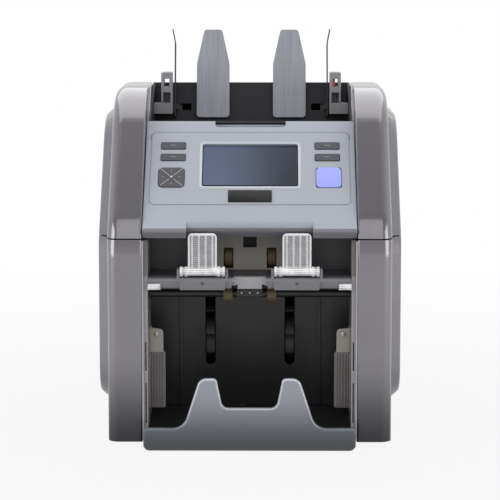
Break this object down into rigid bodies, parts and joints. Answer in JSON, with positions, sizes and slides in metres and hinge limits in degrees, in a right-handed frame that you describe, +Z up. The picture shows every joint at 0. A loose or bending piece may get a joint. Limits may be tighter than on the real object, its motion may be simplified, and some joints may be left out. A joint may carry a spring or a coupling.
{
  "type": "banknote counting machine",
  "caption": "Desktop banknote counter with a top hopper, tilted control panel, upper reject pocket, lower stacker pocket with a horned front plate and a hinged upper unit.",
  "frame": {"origin": "on the table under the middle of the machine", "axes": "+X to the right seen from the front, +Y towards the back, +Z up"},
  "size_m": [0.285, 0.3, 0.3848],
  "materials": {
    "side_cover": "glossy grey-brown metallic paint",
    "panel": "satin pale blue-grey moulding",
    "screen": "dark glass",
    "key": "satin dark grey",
    "start_key": "satin lilac blue",
    "hopper": "satin dark grey",
    "finger": "satin mid grey",
    "front_plate": "satin metallic grey moulding",
    "pocket": "satin near black",
    "liner": "satin warm grey",
    "clear": "clear moulding",
    "amber": "amber polyurethane",
    "steel": "zinc-plated sheet",
    "gear": "natural acetal",
    "rubber": "black rubber",
    "board": "green laminate",
    "black": "black moulding"
  },
  "bodies": {
    "base": {"base_pan": "steel", "feet": "rubber", "lower_frames": "steel", "tie_bars": "steel", "lower_cover_right": "side_cover", "lower_cover_left": "side_cover", "rear_cover": "side_cover", "stacker_front": "front_plate", "stacker_bed": "pocket", "stacker_back": "pocket", "pocket_liner_right": "liner", "pocket_liner_left": "liner", "stack_guards": "liner", "reject_bar": "hopper", "sensor_lenses": "clear", "reject_tray": "pocket", "transport_deck": "pocket", "image_sensor": "black", "main_motor": "steel", "drive_belt": "rubber", "power_supply": "steel", "main_board": "board", "rear_sockets": "black", "shaft_bushes": "gear", "hinge_pins": "steel"},
    "upper_unit": {"upper_cover_right": "side_cover", "upper_cover_left": "side_cover", "upper_frames": "steel", "upper_rear_cover": "side_cover", "control_panel": "panel", "display_window": "screen", "panel_board": "board", "hopper_bed": "hopper", "hopper_fingers": "finger", "hopper_blocks": "finger", "feed_motor": "steel"},
    "transport": {"transport_shaft": "steel"},
    "stacker": {"stacker_shaft": "black", "stacker_wheels": "rubber"},
    "exit": {"exit_shaft": "black", "exit_rollers": "amber"},
    "reject": {"reject_shaft": "black", "reject_rollers": "amber"},
    "motor": {"motor_pulley": "steel"},
    "gate": {"diverter_gate": "black"},
    "stopper_left": {"stopper_left": "clear"},
    "stopper_right": {"stopper_right": "clear"},
    "rocker": {"power_switch": "black"},
    "feed": {"feed_shaft": "steel"},
    "pickup": {"pickup_shaft": "gear", "pickup_rollers": "rubber"},
    "pinion": {"feed_pinion": "gear"},
    "guide_left": {"hopper_guide_left": "black"},
    "guide_right": {"hopper_guide_right": "black"},
    "key_1": {"function_key_1": "key"},
    "key_2": {"function_key_2": "key"},
    "key_3": {"function_key_3": "key"},
    "key_4": {"function_key_4": "key"},
    "nav": {"nav_pad": "key"},
    "start": {"start_key": "start_key"}
  },
  "joints": [
    {"name": "upper_unit_hinge", "type": "hinge", "parent": "base", "child": "upper_unit", "pos_m": [0, 0.1455, 0.199], "axis": [-1, 0, 0], "range_deg": [0, 40]},
    {"name": "stacker_spin", "type": "hinge", "parent": "base", "child": "stacker", "pos_m": [0, -0.04, 0.104], "axis": [1, 0, 0], "continuous": true},
    {"name": "transport_spin", "type": "hinge", "parent": "base", "child": "transport", "pos_m": [0, 0.01353, 0.16345], "axis": [1, 0, 0], "continuous": true},
    {"name": "exit_spin", "type": "hinge", "parent": "base", "child": "exit", "pos_m": [0, -0.09803, 0.14314], "axis": [1, 0, 0], "continuous": true},
    {"name": "reject_spin", "type": "hinge", "parent": "base", "child": "reject", "pos_m": [0, -0.07232, 0.17378], "axis": [1, 0, 0], "continuous": true},
    {"name": "motor_spin", "type": "hinge", "parent": "base", "child": "motor", "pos_m": [0, 0.066, 0.066], "axis": [1, 0, 0], "continuous": true},
    {"name": "gate_flip", "type": "hinge", "parent": "base", "child": "gate", "pos_m": [0, -0.052, 0.159], "axis": [1, 0, 0], "range_deg": [-18, 0]},
    {"name": "power_rocker", "type": "hinge", "parent": "base", "child": "rocker", "pos_m": [-0.026, 0.137, 0.04], "axis": [1, 0, 0], "range_deg": [-18, 0]},
    {"name": "stopper_left_fold", "type": "hinge", "parent": "base", "child": "stopper_left", "pos_m": [-0.044, -0.123, 0.167], "axis": [1, 0, 0], "range_deg": [0, 75], "stiffness_Nm_per_rad": 0.02},
    {"name": "stopper_right_fold", "type": "hinge", "parent": "base", "child": "stopper_right", "pos_m": [0.044, -0.123, 0.167], "axis": [1, 0, 0], "range_deg": [0, 75], "stiffness_Nm_per_rad": 0.02},
    {"name": "feed_spin", "type": "hinge", "parent": "upper_unit", "child": "feed", "pos_m": [0, 0.01006, 0.22551], "axis": [1, 0, 0], "continuous": true},
    {"name": "pickup_spin", "type": "hinge", "parent": "upper_unit", "child": "pickup", "pos_m": [0, 0.02591, 0.2595], "axis": [1, 0, 0], "continuous": true},
    {"name": "pinion_spin", "type": "hinge", "parent": "upper_unit", "child": "pinion", "pos_m": [0, 0.04453, 0.21944], "axis": [1, 0, 0], "continuous": true},
    {"name": "guide_left_slide", "type": "slide", "parent": "upper_unit", "child": "guide_left", "axis": [1, 0, 0], "range_m": [0, 0.012]},
    {"name": "guide_right_slide", "type": "slide", "parent": "upper_unit", "child": "guide_right", "axis": [-1, 0, 0], "range_m": [0, 0.012]},
    {"name": "key_1_press", "type": "slide", "parent": "upper_unit", "child": "key_1", "axis": [0, 0.6845, -0.729], "range_m": [0, 0.001], "stiffness_N_per_m": 800},
    {"name": "key_2_press", "type": "slide", "parent": "upper_unit", "child": "key_2", "axis": [0, 0.6845, -0.729], "range_m": [0, 0.001], "stiffness_N_per_m": 800},
    {"name": "key_3_press", "type": "slide", "parent": "upper_unit", "child": "key_3", "axis": [0, 0.6845, -0.729], "range_m": [0, 0.001], "stiffness_N_per_m": 800},
    {"name": "key_4_press", "type": "slide", "parent": "upper_unit", "child": "key_4", "axis": [0, 0.6845, -0.729], "range_m": [0, 0.001], "stiffness_N_per_m": 800},
    {"name": "nav_press", "type": "slide", "parent": "upper_unit", "child": "nav", "axis": [0, 0.6845, -0.729], "range_m": [0, 0.001], "stiffness_N_per_m": 800},
    {"name": "start_press", "type": "slide", "parent": "upper_unit", "child": "start", "axis": [0, 0.6845, -0.729], "range_m": [0, 0.001], "stiffness_N_per_m": 800}
  ],
  "couplings": [
    {"joint": "transport_spin", "follows": "stacker_spin", "ratio": -1.6667},
    {"joint": "exit_spin", "follows": "stacker_spin", "ratio": -2.5},
    {"joint": "reject_spin", "follows": "stacker_spin", "ratio": 2.5},
    {"joint": "motor_spin", "follows": "stacker_spin", "ratio": -2.7778},
    {"joint": "pickup_spin", "follows": "feed_spin", "ratio": -1.1429},
    {"joint": "pinion_spin", "follows": "feed_spin", "ratio": -1.3333},
    {"joint": "guide_right_slide", "follows": "guide_left_slide", "ratio": 1}
  ]
}
